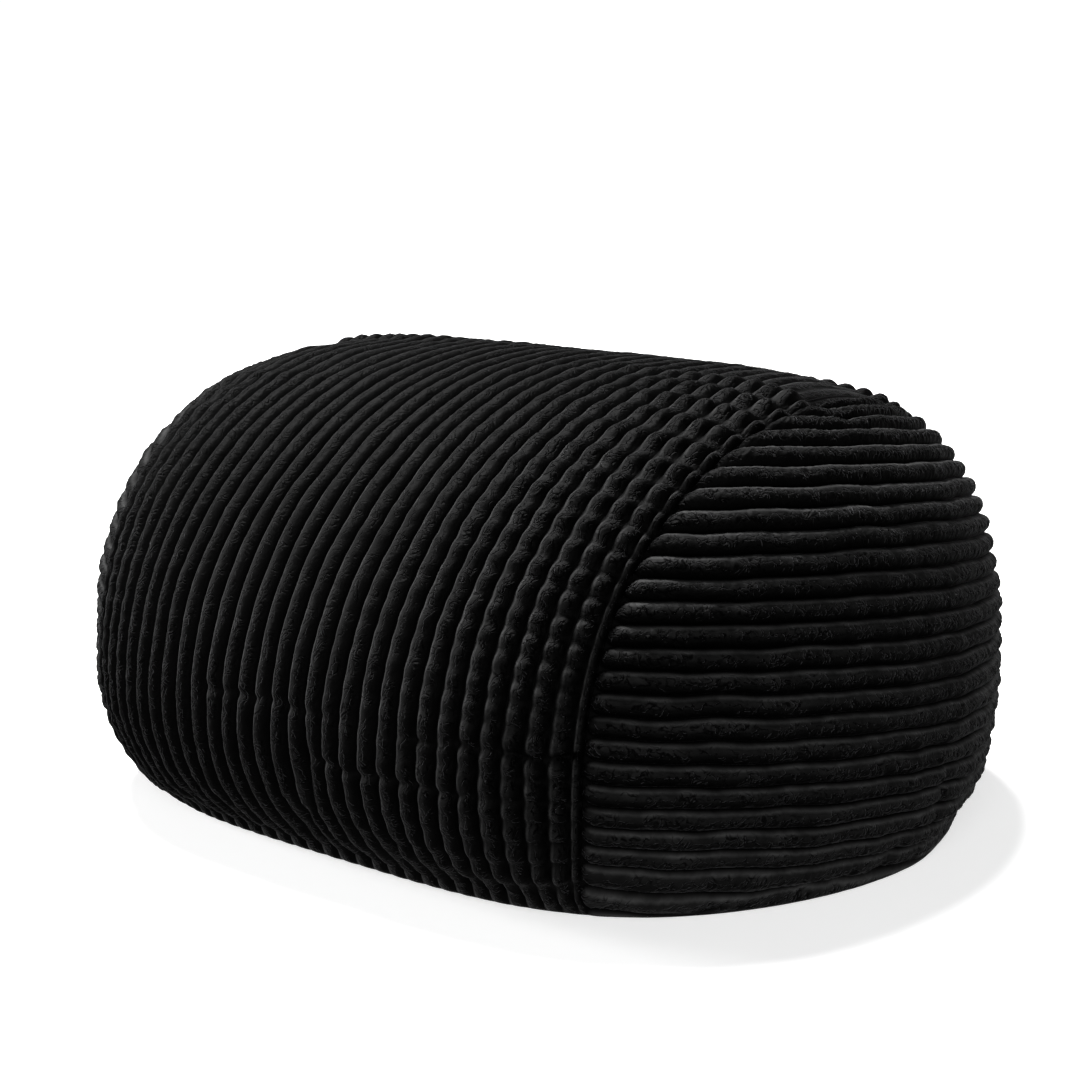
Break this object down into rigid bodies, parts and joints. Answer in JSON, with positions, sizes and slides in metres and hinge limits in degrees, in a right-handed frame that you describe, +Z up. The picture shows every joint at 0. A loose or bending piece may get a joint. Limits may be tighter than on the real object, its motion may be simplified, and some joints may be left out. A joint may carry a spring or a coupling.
{
  "type": "bean bag lounger",
  "caption": "Filled floor lounger in wide rib cord: an oval barrel with a domed panel sewn into each end and a flat spot pressed into its base.",
  "frame": {"origin": "middle of the flat base, on the surface it rests on", "axes": "+X along the length, from one end panel to the other; +Y across the width; +Z up"},
  "size_m": [1.1734, 0.9982, 0.5593],
  "materials": {
    "rib_cord": "matt brushed plush, wide rib"
  },
  "bodies": {
    "root": {"barrel_panel": "rib_cord", "end_panel_right": "rib_cord", "end_panel_left": "rib_cord"}
  },
  "joints": []
}
